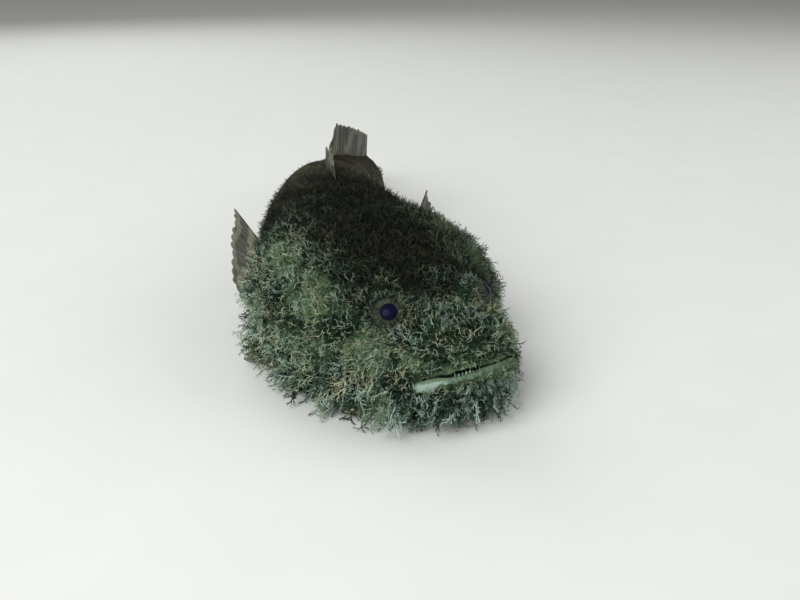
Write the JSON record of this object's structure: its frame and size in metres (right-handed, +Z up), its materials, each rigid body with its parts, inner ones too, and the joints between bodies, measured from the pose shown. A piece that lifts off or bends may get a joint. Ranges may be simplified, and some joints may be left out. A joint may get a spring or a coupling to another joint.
{
  "type": "bearded toadfish",
  "caption": "Life-size bearded toadfish resting on its belly with its tail curved to its left: broad flat head fringed with branching barbels, low spiny and long soft dorsal fins.",
  "frame": {"origin": "middle of the bounding box in plan, on the floor under the belly", "axes": "+X towards the nose, +Y towards the fish's left, +Z up"},
  "size_m": [0.3165, 0.1566, 0.073],
  "materials": {
    "head": "satin mottled skin",
    "lower_jaw": "satin skin, pale lip",
    "gill_cover": "satin mottled skin",
    "trunk": "satin mottled skin",
    "tail": "satin mottled skin",
    "fins": "satin barred fin skin over rays",
    "eyes": "wet, dark blue-violet pupil in a brown-grey iris"
  },
  "bodies": {
    "root": {"head": "head", "lower_jaw": "lower_jaw", "gill_cover_left": "gill_cover", "gill_cover_right": "gill_cover", "eye_left": "eyes", "eye_right": "eyes", "trunk_front": "trunk", "trunk_rear": "trunk", "tail_front": "tail", "tail_stalk": "tail", "spiny_dorsal_fin": "fins", "soft_dorsal_fin": "fins", "anal_fin": "fins", "tail_fin": "fins", "pectoral_fin_left": "fins", "pectoral_fin_right": "fins", "pelvic_fin_left": "fins", "pelvic_fin_right": "fins"}
  },
  "joints": []
}
